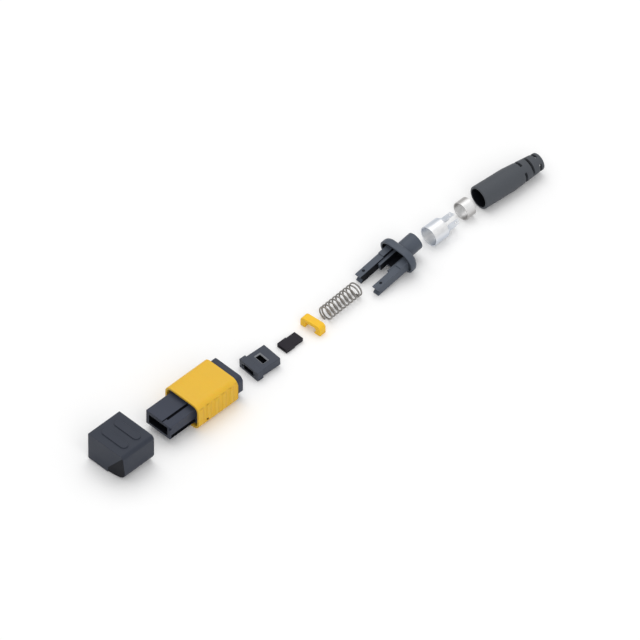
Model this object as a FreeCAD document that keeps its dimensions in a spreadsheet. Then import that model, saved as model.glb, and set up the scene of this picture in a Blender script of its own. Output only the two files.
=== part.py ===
"""Multi-fibre push-on connector, laid out as a kit in the order in which its pieces go together.

Every piece is modelled on its own axis: X is its width, Y is up, and Z points from its cable side to its
mating side, with Z = 0 on the face at the cable side. It is then laid down in the row, which runs along Y
of the document, from the mating end (low Y) to the cable end (high Y), on the plane Z = 0.
"""
import FreeCAD, Part
import math
import os
import re

import Sketcher

doc = FreeCAD.newDocument("fibre_connector_kit")
sizes = doc.addObject("Spreadsheet::Sheet", "sizes")

# Driving dimensions in millimetres and degrees

SIZES = [
    # Dust cap
    ("cap_width", 12.7),
    ("cap_height", 8.9),
    ("cap_length", 11.2),
    ("cap_corner", 1.2),
    ("cap_low_corner", 2.6),
    ("cap_edge", 0.3),
    ("cap_clearance", 0.15),
    ("cap_end_gap", 0.4),
    ("cap_ridge_length", 8.6),
    ("cap_ridge_width", 2.3),
    ("cap_ridge_height", 0.3),
    ("cap_ridge_from_end", 2.3),
    ("cap_ridge_pitch", 4.4),
    ("cap_relief_width", 5.6),
    ("cap_relief_depth", 1.0),
    ("cap_relief_low", 1.75),
    ("cap_relief_high", 0.1),
    # Coupling sleeve
    ("sleeve_width", 12.2),
    ("sleeve_height", 8.1),
    ("sleeve_length", 14.2),
    ("sleeve_corner", 2.1),
    ("sleeve_wall", 0.65),
    ("grip_radius", 1.25),
    ("grip_depth", 0.36),
    ("grip_count", 5),
    ("grip_pitch", 2.7),
    ("grip_from_rear", 0.9),
    ("dimple_radius", 0.35),
    ("dimple_depth", 0.5),
    ("dimple_from_front", 3.4),
    ("dimple_below_middle", 2.0),
    # Inner housing
    ("slide_clearance", 0.1),
    ("slide_travel", 1.4),
    ("collar_grip", 1.1),
    ("collar_hidden", 3.0),
    ("tail_height", 5.6),
    ("tail_corner", 1.4),
    ("core_side_gap", 0.5),
    ("core_top_gap", 0.45),
    ("core_corner", 0.8),
    ("core_behind_front", 0.6),
    ("nose_width", 8.7),
    ("nose_height", 4.4),
    ("nose_reach", 8.6),
    ("nose_edge", 0.2),
    ("key_step", 0.3),
    ("key_land", 2.9),
    ("ferrule_clearance", 0.12),
    ("slot_depth", 5.4),
    ("cavity_width", 8.4),
    ("cavity_height", 4.6),
    ("side_groove_height", 1.0),
    ("side_groove_depth", 0.45),
    ("side_groove_lip", 0.3),
    ("side_groove_from_front", 0.5),
    ("notch_width", 0.6),
    ("notch_height", 0.8),
    ("notch_depth", 0.5),
    ("notch_from_top", 0.4),
    # Coupling springs and their seats
    ("coupling_spring_width", 0.95),
    ("coupling_spring_wire", 0.15),
    ("coupling_spring_length", 5.5),
    ("coupling_spring_turns", 8),
    ("spring_gap", 0.05),
    ("tab_length", 1.2),
    ("tab_height", 1.2),
    ("channel_height", 1.5),
    # Ferrule
    ("ferrule_width", 6.4),
    ("ferrule_height", 2.5),
    ("ferrule_length", 8.0),
    ("flange_width", 7.2),
    ("flange_height", 3.0),
    ("flange_length", 1.9),
    ("ferrule_edge", 0.2),
    ("guide_hole_radius", 0.35),
    ("guide_hole_pitch", 4.6),
    ("fibre_count", 12),
    ("fibre_pitch", 0.25),
    ("fibre_hole_radius", 0.0625),
    ("ferrule_pocket_depth", 6.5),
    ("window_width", 2.9),
    ("window_length", 1.5),
    ("window_from_flange", 1.75),
    # Ferrule boot
    ("boot_fit", 0.1),
    ("boot_length", 6.1),
    ("boot_width", 3.15),
    ("boot_height", 1.1),
    ("boot_head_length", 3.0),
    ("boot_head_width", 3.5),
    ("boot_head_height", 1.35),
    ("boot_slot_width", 2.4),
    ("boot_slot_height", 0.45),
    ("boot_edge", 0.15),
    # Pin clamp
    ("clamp_width", 6.7),
    ("clamp_height", 3.0),
    ("clamp_depth", 2.3),
    ("clamp_leg", 1.6),
    ("clamp_bridge", 1.1),
    ("clamp_corner", 1.2),
    ("clamp_arch_corner", 0.6),
    ("clamp_hook", 0.4),
    ("clamp_hook_height", 0.5),
    # Ferrule spring
    ("spring_width", 4.3),
    ("spring_wire", 0.42),
    ("spring_length", 12.6),
    ("spring_turns", 10),
    # Crimp body
    ("arm_length", 11.0),
    ("arm_width", 1.9),
    ("arm_height", 2.6),
    ("arm_below_axis", 1.9),
    ("arm_clearance", 0.15),
    ("arm_scoop", 0.8),
    ("arm_scoop_lip", 0.3),
    ("arm_scoop_low", 0.85),
    ("cheek_width", 0.9),
    ("cheek_height", 2.1),
    ("cheek_reach", 2.2),
    ("trough_length", 2.4),
    ("trough_floor", 0.6),
    ("trough_lift", 0.4),
    ("body_flange_width", 11.4),
    ("body_flange_height", 7.4),
    ("body_flange_length", 2.4),
    ("body_flange_flat", 0.4),
    ("body_flange_rim", 1.0),
    ("body_flange_wall", 0.8),
    ("neck_radius", 2.5),
    ("neck_length", 4.8),
    ("neck_bore_radius", 1.3),
    ("neck_edge", 0.25),
    ("arm_dimple_radius", 0.4),
    ("arm_dimple_depth", 0.2),
    ("arm_dimple_from_tip", 2.2),
    # Crimp tube
    ("tube_clearance", 0.1),
    ("tube_wall", 0.25),
    ("tube_length", 4.7),
    ("tongue_width", 1.7),
    ("tongue_length", 4.3),
    ("tongue_inset", 0.95),
    ("tongue_root", 0.1),
    ("tongue_slope", 1.2),
    ("tongue_count", 4),
    ("eyelet_radius", 0.35),
    ("eyelet_from_end", 0.85),
    # Crimp ring
    ("ring_radius", 2.6),
    ("ring_wall", 0.25),
    ("ring_length", 3.0),
    # Strain relief boot
    ("relief_front_radius", 3.3),
    ("relief_tail_radius", 2.45),
    ("relief_length", 20.5),
    ("relief_straight", 10.0),
    ("relief_wall", 0.65),
    ("relief_bore_depth", 10.0),
    ("relief_bore_taper", 1.0),
    ("relief_tail_bore_radius", 1.5),
    ("relief_edge", 0.3),
    ("relief_slot_width", 0.7),
    ("relief_slot_pitch", 2.6),
    ("relief_slot_from_tail", 0.9),
    ("relief_bridge", 2.0),
    ("relief_slot_rings", 3),
    # The row: clear gap in front of each piece and how far aside it lies
    ("gap_cap_housing", 6.9),
    ("gap_housing_ferrule", 6.5),
    ("gap_ferrule_boot", 4.05),
    ("gap_boot_clamp", 3.9),
    ("gap_clamp_spring", 2.8),
    ("gap_spring_body", 2.9),
    ("gap_body_tube", 4.6),
    ("gap_tube_ring", 3.4),
    ("gap_ring_relief", 3.1),
    ("aside_cap", -0.07),
    ("aside_housing", 0.7),
    ("aside_ferrule", 1.5),
    ("aside_boot", 1.5),
    ("aside_clamp", 1.5),
    ("aside_spring", 0.9),
    ("aside_body", 1.3),
    ("aside_tube", 1.4),
    ("aside_ring", 0.7),
    ("aside_relief", 2.6),
    # How far some pieces are turned in plan, or rolled on their own axis, in degrees
    ("turn_clamp", 5.0),
    ("turn_spring", 3.0),
    ("turn_ferrule", -4.0),
    ("turn_relief", -4.5),
    ("roll_tube", 15.0),
    ("roll_relief", 56.0),
]


def fill_sheet():
    """Write each driving dimension to a cell of the sheet and give the cell its alias."""
    for row, (alias, value) in enumerate(SIZES, start=1):
        sizes.set(f"A{row}", alias)
        sizes.set(f"B{row}", str(value))
        sizes.setAlias(f"B{row}", alias)
    doc.recompute()


def size(alias):
    """The plain number in a cell of the sheet."""
    return float(sizes.get(alias))


def collar_exposed():
    """Length of housing collar behind the sleeve: what the sleeve slides over and what stays to hold."""
    return size("slide_travel") + size("collar_grip")


def in_sheet(expression):
    """Name the sheet in front of each alias of an expression."""
    return re.sub(r"[a-z]\w*", r"sizes.\g<0>", expression)


def bind(thing, **expressions):
    """Drive properties of an object from the sheet."""
    for name, expression in expressions.items():
        thing.setExpression(name.replace("__", "."), in_sheet(expression))


# Helpers for sketched features

def new_body(label):
    body = doc.addObject("PartDesign::Body", label)
    body.Label = label
    return body


def plane(body, role):
    """One of the body's own origin planes or axes."""
    return next(feature for feature in body.Origin.OriginFeatures if feature.Role == role)


def new_sketch(body, name, role="XY_Plane", offset="0"):
    """A sketch on an origin plane of its body, moved along that plane's normal."""
    sketch = body.newObject("Sketcher::SketchObject", name)
    sketch.AttachmentSupport = [(plane(body, role), "")]
    sketch.MapMode = "FlatFace"
    bind(sketch, AttachmentOffset__Base__z=offset)
    return sketch


def draw_outline(sketch, corners):
    """A closed straight-sided outline whose corners are pairs of expressions."""
    count = len(corners)
    first = sketch.GeometryCount
    turn = 2 * math.pi / count
    ring = [FreeCAD.Vector(math.cos(turn * i), math.sin(turn * i), 0) for i in range(count)]
    for i in range(count):
        sketch.addGeometry(Part.LineSegment(ring[i], ring[(i + 1) % count]), False)
    for i in range(count):
        sketch.addConstraint(Sketcher.Constraint("Coincident", first + i, 2, first + (i + 1) % count, 1))
    for i, (along, across) in enumerate(corners):
        for kind, start, expression in (("DistanceX", ring[i].x, along), ("DistanceY", ring[i].y, across)):
            number = sketch.addConstraint(Sketcher.Constraint(kind, -1, 1, first + i, 1, start))
            sketch.setExpression(f"Constraints[{number}]", in_sheet(expression))


def draw_rectangle(sketch, left, low, right, high):
    draw_outline(sketch, [(left, low), (right, low), (right, high), (left, high)])


def draw_centred(sketch, width, height, middle="0"):
    """A rectangle centred on the axis, or on a height above it."""
    draw_rectangle(
        sketch,
        f"-({width}) / 2",
        f"{middle} - ({height}) / 2",
        f"({width}) / 2",
        f"{middle} + ({height}) / 2",
    )


def draw_circle(sketch, along, across, radius):
    number = sketch.addGeometry(Part.Circle(FreeCAD.Vector(1, 1, 0), FreeCAD.Vector(0, 0, 1), 1), False)
    places = (("DistanceX", 1, along), ("DistanceY", 1, across))
    for kind, start, expression in places:
        found = sketch.addConstraint(Sketcher.Constraint(kind, -1, 1, number, 3, start))
        sketch.setExpression(f"Constraints[{found}]", in_sheet(expression))
    found = sketch.addConstraint(Sketcher.Constraint("Radius", number, 1))
    sketch.setExpression(f"Constraints[{found}]", in_sheet(radius))


def pad(body, sketch, length, reverse=False):
    feature = body.newObject("PartDesign::Pad", f"{sketch.Name}_pad")
    feature.Profile = sketch
    feature.Reversed = reverse
    bind(feature, Length=length)
    sketch.Visibility = False
    doc.recompute()
    return feature


def pocket(body, sketch, length=None, reverse=False):
    """Cut a sketch out of its body, to a depth or through all; a cut that removes nothing is an error."""
    before = body.Shape.Volume
    feature = body.newObject("PartDesign::Pocket", f"{sketch.Name}_pocket")
    feature.Profile = sketch
    feature.Reversed = reverse
    if length:
        bind(feature, Length=length)
    else:
        feature.Type = "ThroughAll"
    doc.recompute()
    if body.Shape.Volume > before - 1e-4:
        raise RuntimeError(f"{sketch.Label} cuts nothing")
    return feature


def mirror(body, features, role="YZ_Plane"):
    feature = body.newObject("PartDesign::Mirrored", f"{features[0].Name}_mirror")
    feature.Originals = features
    feature.MirrorPlane = (plane(body, role), [""])
    body.Tip = feature
    doc.recompute()
    return feature


def repeat_round(body, features, count):
    feature = body.newObject("PartDesign::PolarPattern", f"{features[0].Name}_ring")
    feature.Originals = features
    feature.Axis = (plane(body, "Z_Axis"), [""])
    feature.Angle = 360
    feature.Occurrences = count
    body.Tip = feature
    doc.recompute()
    return feature


def straight_edges(shape, direction, wanted):
    """Names of the straight edges along a direction whose middle point is wanted."""
    names = []
    for number, edge in enumerate(shape.Edges, start=1):
        if edge.Curve.TypeId != "Part::GeomLine":
            continue
        start, end = edge.Vertexes[0].Point, edge.Vertexes[-1].Point
        if abs((end - start).normalize().dot(direction)) > 0.999 and wanted((start + end) / 2):
            names.append(f"Edge{number}")
    return names


ALONG = FreeCAD.Vector(0, 0, 1)
ACROSS = FreeCAD.Vector(1, 0, 0)
UPRIGHT = FreeCAD.Vector(0, 1, 0)


def round_named(body, radius, names):
    """Round the named edges of a body."""
    base = body.Tip
    if not names:
        raise RuntimeError(f"{body.Label} has no such edge")
    feature = body.newObject("PartDesign::Fillet", f"{body.Name}_edges")
    feature.Base = (base, names)
    bind(feature, Radius=radius)
    doc.recompute()
    if feature.Shape.isNull() or not feature.isValid():
        raise RuntimeError(f"{body.Label} could not be rounded")


def near(value, target):
    return abs(value - target) < 0.01


def round_edges(body, radius, direction, wanted):
    """Round the chosen straight edges of a body."""
    round_named(body, radius, straight_edges(body.Tip.Shape, direction, wanted))


def round_rims(body, radius, rims):
    """Round the round rims of a body, each given by its own radius and its height on the axis."""
    names = []
    for number, edge in enumerate(body.Tip.Shape.Edges, start=1):
        if edge.Curve.TypeId != "Part::GeomCircle":
            continue
        if any(near(edge.Curve.Radius, r) and near(edge.Curve.Center.z, z) for r, z in rims):
            names.append(f"Edge{number}")
    if len(names) != len(rims):
        raise RuntimeError(f"{body.Label} has other rims")
    round_named(body, radius, names)


def round_outline(body, radius, height):
    """Round every edge of a body that lies flat at this height on the axis."""
    names = []
    for number, edge in enumerate(body.Tip.Shape.Edges, start=1):
        box = edge.BoundBox
        if near(box.ZMin, height) and near(box.ZMax, height):
            names.append(f"Edge{number}")
    round_named(body, radius, names)


def round_corners(body, width, height, radius, middle=0.0):
    """Round the four long edges of a rectangular form of this width and height."""
    half_width, half_height = width / 2, height / 2
    round_edges(
        body,
        radius,
        ALONG,
        lambda p: near(abs(p.x), half_width) and near(abs(p.y - middle), half_height),
    )


# Widths, heights and lengths that several pieces share

BORE_WIDTH = "(sleeve_width - 2 * sleeve_wall)"
BORE_HEIGHT = "(sleeve_height - 2 * sleeve_wall)"
CORE_WIDTH = f"({BORE_WIDTH} - 2 * core_side_gap)"
CORE_HEIGHT = f"({BORE_HEIGHT} - 2 * core_top_gap)"
COLLAR_EXPOSED = "(slide_travel + collar_grip)"
COLLAR_LENGTH = f"({COLLAR_EXPOSED} + collar_hidden)"
CORE_FRONT = f"({COLLAR_EXPOSED} + sleeve_length - core_behind_front)"
HOUSING_LENGTH = f"({COLLAR_EXPOSED} + sleeve_length + nose_reach)"
SPRING_SPACE = "(coupling_spring_length + 2 * spring_gap)"
CHANNEL_FLOOR = f"({BORE_WIDTH} / 2 - coupling_spring_width - 2 * spring_gap)"
POCKET_WIDTH = "(boot_head_width + 2 * boot_fit)"
POCKET_HEIGHT = "(boot_head_height + 2 * boot_fit)"
ARM_TOP = "(arm_height - arm_below_axis)"
ARM_SPAN = "(cavity_width - 2 * arm_clearance)"
CHANNEL_HALF = f"({ARM_SPAN} / 2 - arm_width - cheek_width)"
BODY_LENGTH = "(neck_length + body_flange_length + arm_length)"
TUBE_BORE = "(neck_radius + tube_clearance)"


# The pieces

def cut_cap_relief(body):
    """Slope the low corner of the cap's end back, from a crease that climbs to the corner above it."""
    rise = "(cap_height - cap_relief_low - cap_relief_high)"
    steepness = size("cap_height") - size("cap_relief_low") - size("cap_relief_high")
    crease = math.degrees(math.atan2(steepness, size("cap_relief_width")))
    slope = math.degrees(math.atan2(size("cap_relief_depth"), size("cap_relief_width")))
    relief = new_sketch(body, "cap_corner_relief")
    relief.AttachmentOffset = FreeCAD.Placement(
        FreeCAD.Vector(),
        FreeCAD.Rotation(ALONG, crease) * FreeCAD.Rotation(ACROSS, slope),
    )
    bind(
        relief,
        AttachmentOffset__Base__x="cap_width / 2 - cap_relief_width",
        AttachmentOffset__Base__y="-cap_height / 2 + cap_relief_low",
        AttachmentOffset__Base__z="cap_length",
    )
    draw_outline(
        relief,
        [
            (f"-{rise}", "-cap_relief_width"),
            ("2 * cap_height", "-2 * cap_height"),
            ("2 * cap_height", "0"),
            ("0", "0"),
        ],
    )
    pocket(body, relief, "2 * cap_relief_depth", reverse=True)


def dust_cap():
    """Hollow cap: it covers the nose, and two raised ridges above and below give the fingers a hold."""
    body = new_body("dust_cap")
    section = new_sketch(body, "cap_section")
    draw_centred(section, "cap_width", "cap_height")
    pad(body, section, "cap_length")
    side, half_height = size("cap_width") / 2, size("cap_height") / 2
    round_edges(body, "cap_corner", ALONG, lambda p: near(p.x, side) and near(p.y, half_height))
    round_edges(body, "cap_low_corner", ALONG, lambda p: near(p.x, side) and near(p.y, -half_height))
    round_edges(body, "cap_edge", ALONG, lambda p: near(p.x, -side) and near(abs(p.y), half_height))
    hollow = new_sketch(body, "cap_hollow")
    draw_centred(
        hollow,
        "nose_width + 2 * cap_clearance",
        "nose_height + 2 * key_step + 2 * cap_clearance",
    )
    pocket(body, hollow, "nose_reach + cap_end_gap", reverse=True)
    cut_cap_relief(body)
    middle = "cap_length - cap_ridge_from_end - cap_ridge_width / 2"
    straight = "(cap_ridge_length - cap_ridge_width)"
    root = "(cap_height / 2 - cap_ridge_height)"
    for face, offset, upward in (("top", f"-{root}", True), ("bottom", root, False)):
        for row in ("0", "1"):
            height = f"{middle} - {row} * cap_ridge_pitch"
            bar = new_sketch(body, f"cap_{face}_ridge_{row}", "XZ_Plane", offset)
            draw_centred(bar, straight, "cap_ridge_width", height)
            pad(body, bar, "2 * cap_ridge_height", reverse=upward)
            ends = new_sketch(body, f"cap_{face}_ridge_{row}_ends", "XZ_Plane", offset)
            draw_circle(ends, f"{straight} / 2", height, "cap_ridge_width / 2")
            draw_circle(ends, f"-{straight} / 2", height, "cap_ridge_width / 2")
            pad(body, ends, "2 * cap_ridge_height", reverse=upward)
    return body


def coupling_sleeve():
    """The sleeve that the fingers pull back: its two inner tabs carry the coupling springs."""
    body = new_body("coupling_sleeve")
    section = new_sketch(body, "sleeve_section")
    draw_centred(section, "sleeve_width", "sleeve_height")
    pad(body, section, "sleeve_length")
    round_corners(body, size("sleeve_width"), size("sleeve_height"), "sleeve_corner")
    bore = new_sketch(body, "sleeve_bore")
    draw_centred(bore, BORE_WIDTH, BORE_HEIGHT)
    pocket(body, bore, reverse=True)
    inner_width = size("sleeve_width") - 2 * size("sleeve_wall")
    inner_height = size("sleeve_height") - 2 * size("sleeve_wall")
    round_corners(body, inner_width, inner_height, "sleeve_corner - sleeve_wall")
    tab = new_sketch(body, "sleeve_tab", offset=f"collar_hidden + {SPRING_SPACE}")
    draw_rectangle(
        tab,
        f"{CHANNEL_FLOOR} + spring_gap",
        "-tab_height / 2",
        f"{BORE_WIDTH} / 2 + sleeve_wall / 2",
        "tab_height / 2",
    )
    mirror(body, [pad(body, tab, "tab_length")])
    groove = new_sketch(body, "sleeve_grip", "XZ_Plane", "-sleeve_height")
    for row in range(int(size("grip_count"))):
        draw_circle(
            groove,
            "sleeve_width / 2 - grip_depth + grip_radius",
            f"grip_from_rear + {row} * grip_pitch",
            "grip_radius",
        )
    mirror(body, [pocket(body, groove, reverse=True)])
    dimple = new_sketch(body, "sleeve_dimple", "YZ_Plane", "sleeve_width / 2 - dimple_depth")
    draw_circle(dimple, "-dimple_below_middle", "sleeve_length - dimple_from_front", "dimple_radius")
    mirror(body, [pocket(body, dimple, reverse=True)])
    return body


def inner_housing():
    """The housing: collar and core inside the sleeve, and the keyed nose that enters the adapter."""
    body = new_body("inner_housing")
    bore_width = size("sleeve_width") - 2 * size("sleeve_wall")
    bore_height = size("sleeve_height") - 2 * size("sleeve_wall")
    collar_width = bore_width - 2 * size("slide_clearance")
    collar_height = bore_height - 2 * size("slide_clearance")
    core_width = bore_width - 2 * size("core_side_gap")
    core_height = bore_height - 2 * size("core_top_gap")
    tail = new_sketch(body, "housing_tail")
    draw_centred(tail, f"{BORE_WIDTH} - 2 * slide_clearance", "tail_height")
    pad(body, tail, COLLAR_LENGTH)
    round_corners(body, collar_width, size("tail_height"), "tail_corner")
    core = new_sketch(body, "housing_core")
    draw_centred(core, CORE_WIDTH, CORE_HEIGHT)
    pad(body, core, CORE_FRONT)
    round_corners(body, core_width, core_height, "core_corner")
    channel = new_sketch(body, "housing_channel", offset=COLLAR_LENGTH)
    draw_rectangle(channel, CHANNEL_FLOOR, "-channel_height / 2", BORE_WIDTH, "channel_height / 2")
    mirror(body, [pocket(body, channel, f"{SPRING_SPACE} + tab_length + spring_gap", reverse=True)])
    collar = new_sketch(body, "housing_collar", offset=COLLAR_EXPOSED)
    draw_centred(
        collar,
        f"{BORE_WIDTH} - 2 * slide_clearance",
        f"{BORE_HEIGHT} - 2 * slide_clearance",
    )
    pad(body, collar, "collar_hidden")
    round_corners(body, collar_width, collar_height, "sleeve_corner - sleeve_wall - slide_clearance")
    nose = new_sketch(body, "housing_nose")
    draw_centred(nose, "nose_width", "nose_height")
    pad(body, nose, HOUSING_LENGTH)
    key = new_sketch(body, "housing_key")
    draw_rectangle(
        key,
        "-nose_width / 2",
        "0",
        "nose_width / 2 - key_land",
        "nose_height / 2 + key_step",
    )
    pad(body, key, HOUSING_LENGTH)
    bottom = -size("nose_height") / 2
    top = size("nose_height") / 2 + size("key_step")
    front = collar_exposed() + size("sleeve_length")
    round_edges(
        body,
        "nose_edge",
        ALONG,
        lambda p: p.z > front / 2 and (near(p.y, bottom) or near(p.y, top)),
    )
    slot = new_sketch(body, "housing_slot")
    draw_centred(slot, "ferrule_width + 2 * ferrule_clearance", "ferrule_height + 2 * ferrule_clearance")
    pocket(body, slot, reverse=True)
    seat = new_sketch(body, "housing_seat")
    draw_centred(seat, "flange_width + 2 * ferrule_clearance", "flange_height + 2 * ferrule_clearance")
    pocket(body, seat, f"{HOUSING_LENGTH} - slot_depth", reverse=True)
    cavity = new_sketch(body, "housing_cavity")
    draw_centred(cavity, "cavity_width", "cavity_height")
    pocket(body, cavity, f"{CORE_FRONT} - core_behind_front", reverse=True)
    groove = new_sketch(body, "housing_side_groove", offset=CORE_FRONT)
    draw_rectangle(
        groove,
        "nose_width / 2 - side_groove_depth",
        "-nose_height / 2 + side_groove_lip",
        "nose_width",
        "-nose_height / 2 + side_groove_lip + side_groove_height",
    )
    reach = f"{HOUSING_LENGTH} - {CORE_FRONT} - side_groove_from_front"
    mirror(body, [pocket(body, groove, reach, reverse=True)])
    notch = new_sketch(body, "housing_notch", offset=HOUSING_LENGTH)
    draw_rectangle(
        notch,
        "nose_width / 2 - notch_width",
        "nose_height / 2 - notch_from_top - notch_height",
        "nose_width",
        "nose_height / 2 - notch_from_top",
    )
    pocket(body, notch, "notch_depth")
    return body


def coil(label, prefix):
    """A helical spring that stands on Z = 0, sized by the cells that share a prefix."""
    body = new_body(label)
    profile = new_sketch(body, f"{label}_wire", "XZ_Plane")
    draw_circle(profile, f"({prefix}_width - {prefix}_wire) / 2", f"{prefix}_wire / 2", f"{prefix}_wire / 2")
    helix = body.newObject("PartDesign::AdditiveHelix", f"{label}_helix")
    helix.Profile = profile
    helix.ReferenceAxis = (plane(body, "Z_Axis"), [""])
    helix.Mode = "height-turns-angle"
    bind(helix, Height=f"{prefix}_length - {prefix}_wire", Turns=f"{prefix}_turns")
    profile.Visibility = False
    doc.recompute()
    return body


def mt_ferrule():
    """Rectangular ferrule: guide holes, a row of fibre holes, a pocket for the boot and a glue window."""
    body = new_body("mt_ferrule")
    block = new_sketch(body, "ferrule_block")
    draw_centred(block, "ferrule_width", "ferrule_height")
    pad(body, block, "ferrule_length")
    round_corners(body, size("ferrule_width"), size("ferrule_height"), "ferrule_edge")
    flange = new_sketch(body, "ferrule_flange")
    draw_centred(flange, "flange_width", "flange_height")
    pad(body, flange, "flange_length")
    round_corners(body, size("flange_width"), size("flange_height"), "ferrule_edge")
    inlet = new_sketch(body, "ferrule_pocket")
    draw_centred(inlet, POCKET_WIDTH, POCKET_HEIGHT)
    pocket(body, inlet, "ferrule_pocket_depth", reverse=True)
    window = new_sketch(body, "ferrule_window", "XZ_Plane")
    draw_rectangle(
        window,
        "-window_width / 2",
        "flange_length + window_from_flange",
        "window_width / 2",
        "flange_length + window_from_flange + window_length",
    )
    pocket(body, window)
    guides = new_sketch(body, "ferrule_guide_holes")
    draw_circle(guides, "guide_hole_pitch / 2", "0", "guide_hole_radius")
    draw_circle(guides, "-guide_hole_pitch / 2", "0", "guide_hole_radius")
    pocket(body, guides, reverse=True)
    fibres = new_sketch(body, "ferrule_fibre_holes")
    for number in range(int(size("fibre_count"))):
        draw_circle(fibres, f"({number} - (fibre_count - 1) / 2) * fibre_pitch", "0", "fibre_hole_radius")
    pocket(body, fibres, reverse=True)
    return body


def ferrule_boot():
    """Soft insert that leads the bare fibres into the ferrule, with a wider head at its mating side."""
    body = new_body("ferrule_boot")
    stem = new_sketch(body, "boot_stem")
    draw_centred(stem, "boot_width", "boot_height")
    pad(body, stem, "boot_length")
    head = new_sketch(body, "boot_head", offset="boot_length - boot_head_length")
    draw_centred(head, "boot_head_width", "boot_head_height")
    pad(body, head, "boot_head_length")
    round_corners(body, size("boot_head_width"), size("boot_head_height"), "boot_edge")
    slot = new_sketch(body, "boot_slot")
    draw_centred(slot, "boot_slot_width", "boot_slot_height")
    pocket(body, slot, reverse=True)
    return body


def pin_clamp():
    """Arched spacer that stands behind the ferrule, with a small hook on one foot."""
    body = new_body("pin_clamp")
    half = "clamp_width / 2"
    inner = "clamp_width / 2 - clamp_leg"
    arch = "clamp_height - clamp_bridge"
    outline = new_sketch(body, "clamp_outline")
    draw_outline(
        outline,
        [
            (f"-({half})", "0"),
            (f"-({inner})", "0"),
            (f"-({inner})", arch),
            (inner, arch),
            (inner, "clamp_hook_height"),
            (f"{inner} - clamp_hook", "clamp_hook_height"),
            (f"{inner} - clamp_hook", "0"),
            (half, "0"),
            (half, "clamp_height"),
            (f"-({half})", "clamp_height"),
        ],
    )
    pad(body, outline, "clamp_depth")
    top, side = size("clamp_height"), size("clamp_width") / 2
    round_edges(body, "clamp_corner", ALONG, lambda p: near(p.y, top) and near(abs(p.x), side))
    under, inside = top - size("clamp_bridge"), side - size("clamp_leg")
    round_edges(
        body,
        "clamp_arch_corner",
        ALONG,
        lambda p: near(p.y, under) and near(abs(p.x), inside),
    )
    return body


def crimp_body():
    """Rear body: two arms reach into the housing, a trough leads the fibres and the neck takes the crimp."""
    body = new_body("crimp_body")
    flange = new_sketch(body, "body_flange", offset="neck_length")
    draw_centred(flange, "body_flange_width", "body_flange_height")
    pad(body, flange, "body_flange_length")
    round_corners(
        body,
        size("body_flange_width"),
        size("body_flange_height"),
        "(body_flange_height - body_flange_flat) / 2",
    )
    round_outline(body, "body_flange_length - body_flange_rim", size("neck_length"))
    neck = new_sketch(body, "body_neck")
    draw_circle(neck, "0", "0", "neck_radius")
    pad(body, neck, "neck_length + body_flange_wall")
    round_rims(body, "neck_edge", [(size("neck_radius"), 0)])
    trough = new_sketch(body, "body_trough", offset="neck_length + body_flange_length")
    draw_rectangle(
        trough,
        f"-{ARM_SPAN} / 2",
        "-arm_below_axis",
        f"{ARM_SPAN} / 2",
        f"{ARM_TOP} + trough_lift",
    )
    pad(body, trough, "trough_length")
    arms = new_sketch(body, "body_arms", offset="neck_length + body_flange_length")
    draw_rectangle(arms, f"{ARM_SPAN} / 2 - arm_width", "-arm_below_axis", f"{ARM_SPAN} / 2", ARM_TOP)
    mirror(body, [pad(body, arms, "arm_length")])
    cheeks = new_sketch(body, "body_cheeks", offset="neck_length + body_flange_length")
    draw_rectangle(
        cheeks,
        CHANNEL_HALF,
        "-arm_below_axis",
        f"{ARM_SPAN} / 2 - arm_width / 2",
        "-arm_below_axis + cheek_height",
    )
    mirror(body, [pad(body, cheeks, "trough_length + cheek_reach")])
    channel = new_sketch(body, "body_channel", offset="neck_length + body_flange_wall")
    ledge = "-arm_below_axis + cheek_height"
    above = f"{ARM_TOP} + 2 * trough_lift"
    draw_outline(
        channel,
        [
            (f"-{CHANNEL_HALF}", "-arm_below_axis + trough_floor"),
            (CHANNEL_HALF, "-arm_below_axis + trough_floor"),
            (CHANNEL_HALF, ledge),
            (f"{ARM_SPAN} / 2 - arm_width", ledge),
            (f"{ARM_SPAN} / 2 - arm_width", above),
            (f"-{ARM_SPAN} / 2 + arm_width", above),
            (f"-{ARM_SPAN} / 2 + arm_width", ledge),
            (f"-{CHANNEL_HALF}", ledge),
        ],
    )
    pocket(body, channel, "body_flange_length - body_flange_wall + trough_length", reverse=True)
    bore = new_sketch(body, "body_bore")
    draw_circle(bore, "0", "0", "neck_bore_radius")
    pocket(body, bore, "neck_length + body_flange_wall", reverse=True)
    scoop = new_sketch(body, "body_arm_scoop", "YZ_Plane", "-cavity_width")
    draw_outline(
        scoop,
        [
            (f"{ARM_TOP} - arm_scoop_lip", f"{BODY_LENGTH} + arm_scoop"),
            ("-arm_below_axis + arm_scoop_lip", f"{BODY_LENGTH} + arm_scoop"),
            ("-arm_below_axis + arm_scoop_lip", BODY_LENGTH),
            ("-arm_below_axis + arm_scoop_low", f"{BODY_LENGTH} - arm_scoop"),
            (f"{ARM_TOP} - arm_scoop_lip", BODY_LENGTH),
        ],
    )
    pocket(body, scoop, reverse=True)
    dimple = new_sketch(body, "body_arm_dimple", "XZ_Plane", f"-{ARM_TOP}")
    draw_circle(
        dimple,
        f"({ARM_SPAN} - arm_width) / 2",
        f"{BODY_LENGTH} - arm_dimple_from_tip",
        "arm_dimple_radius",
    )
    mirror(body, [pocket(body, dimple, "arm_dimple_depth", reverse=True)])
    return body


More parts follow.
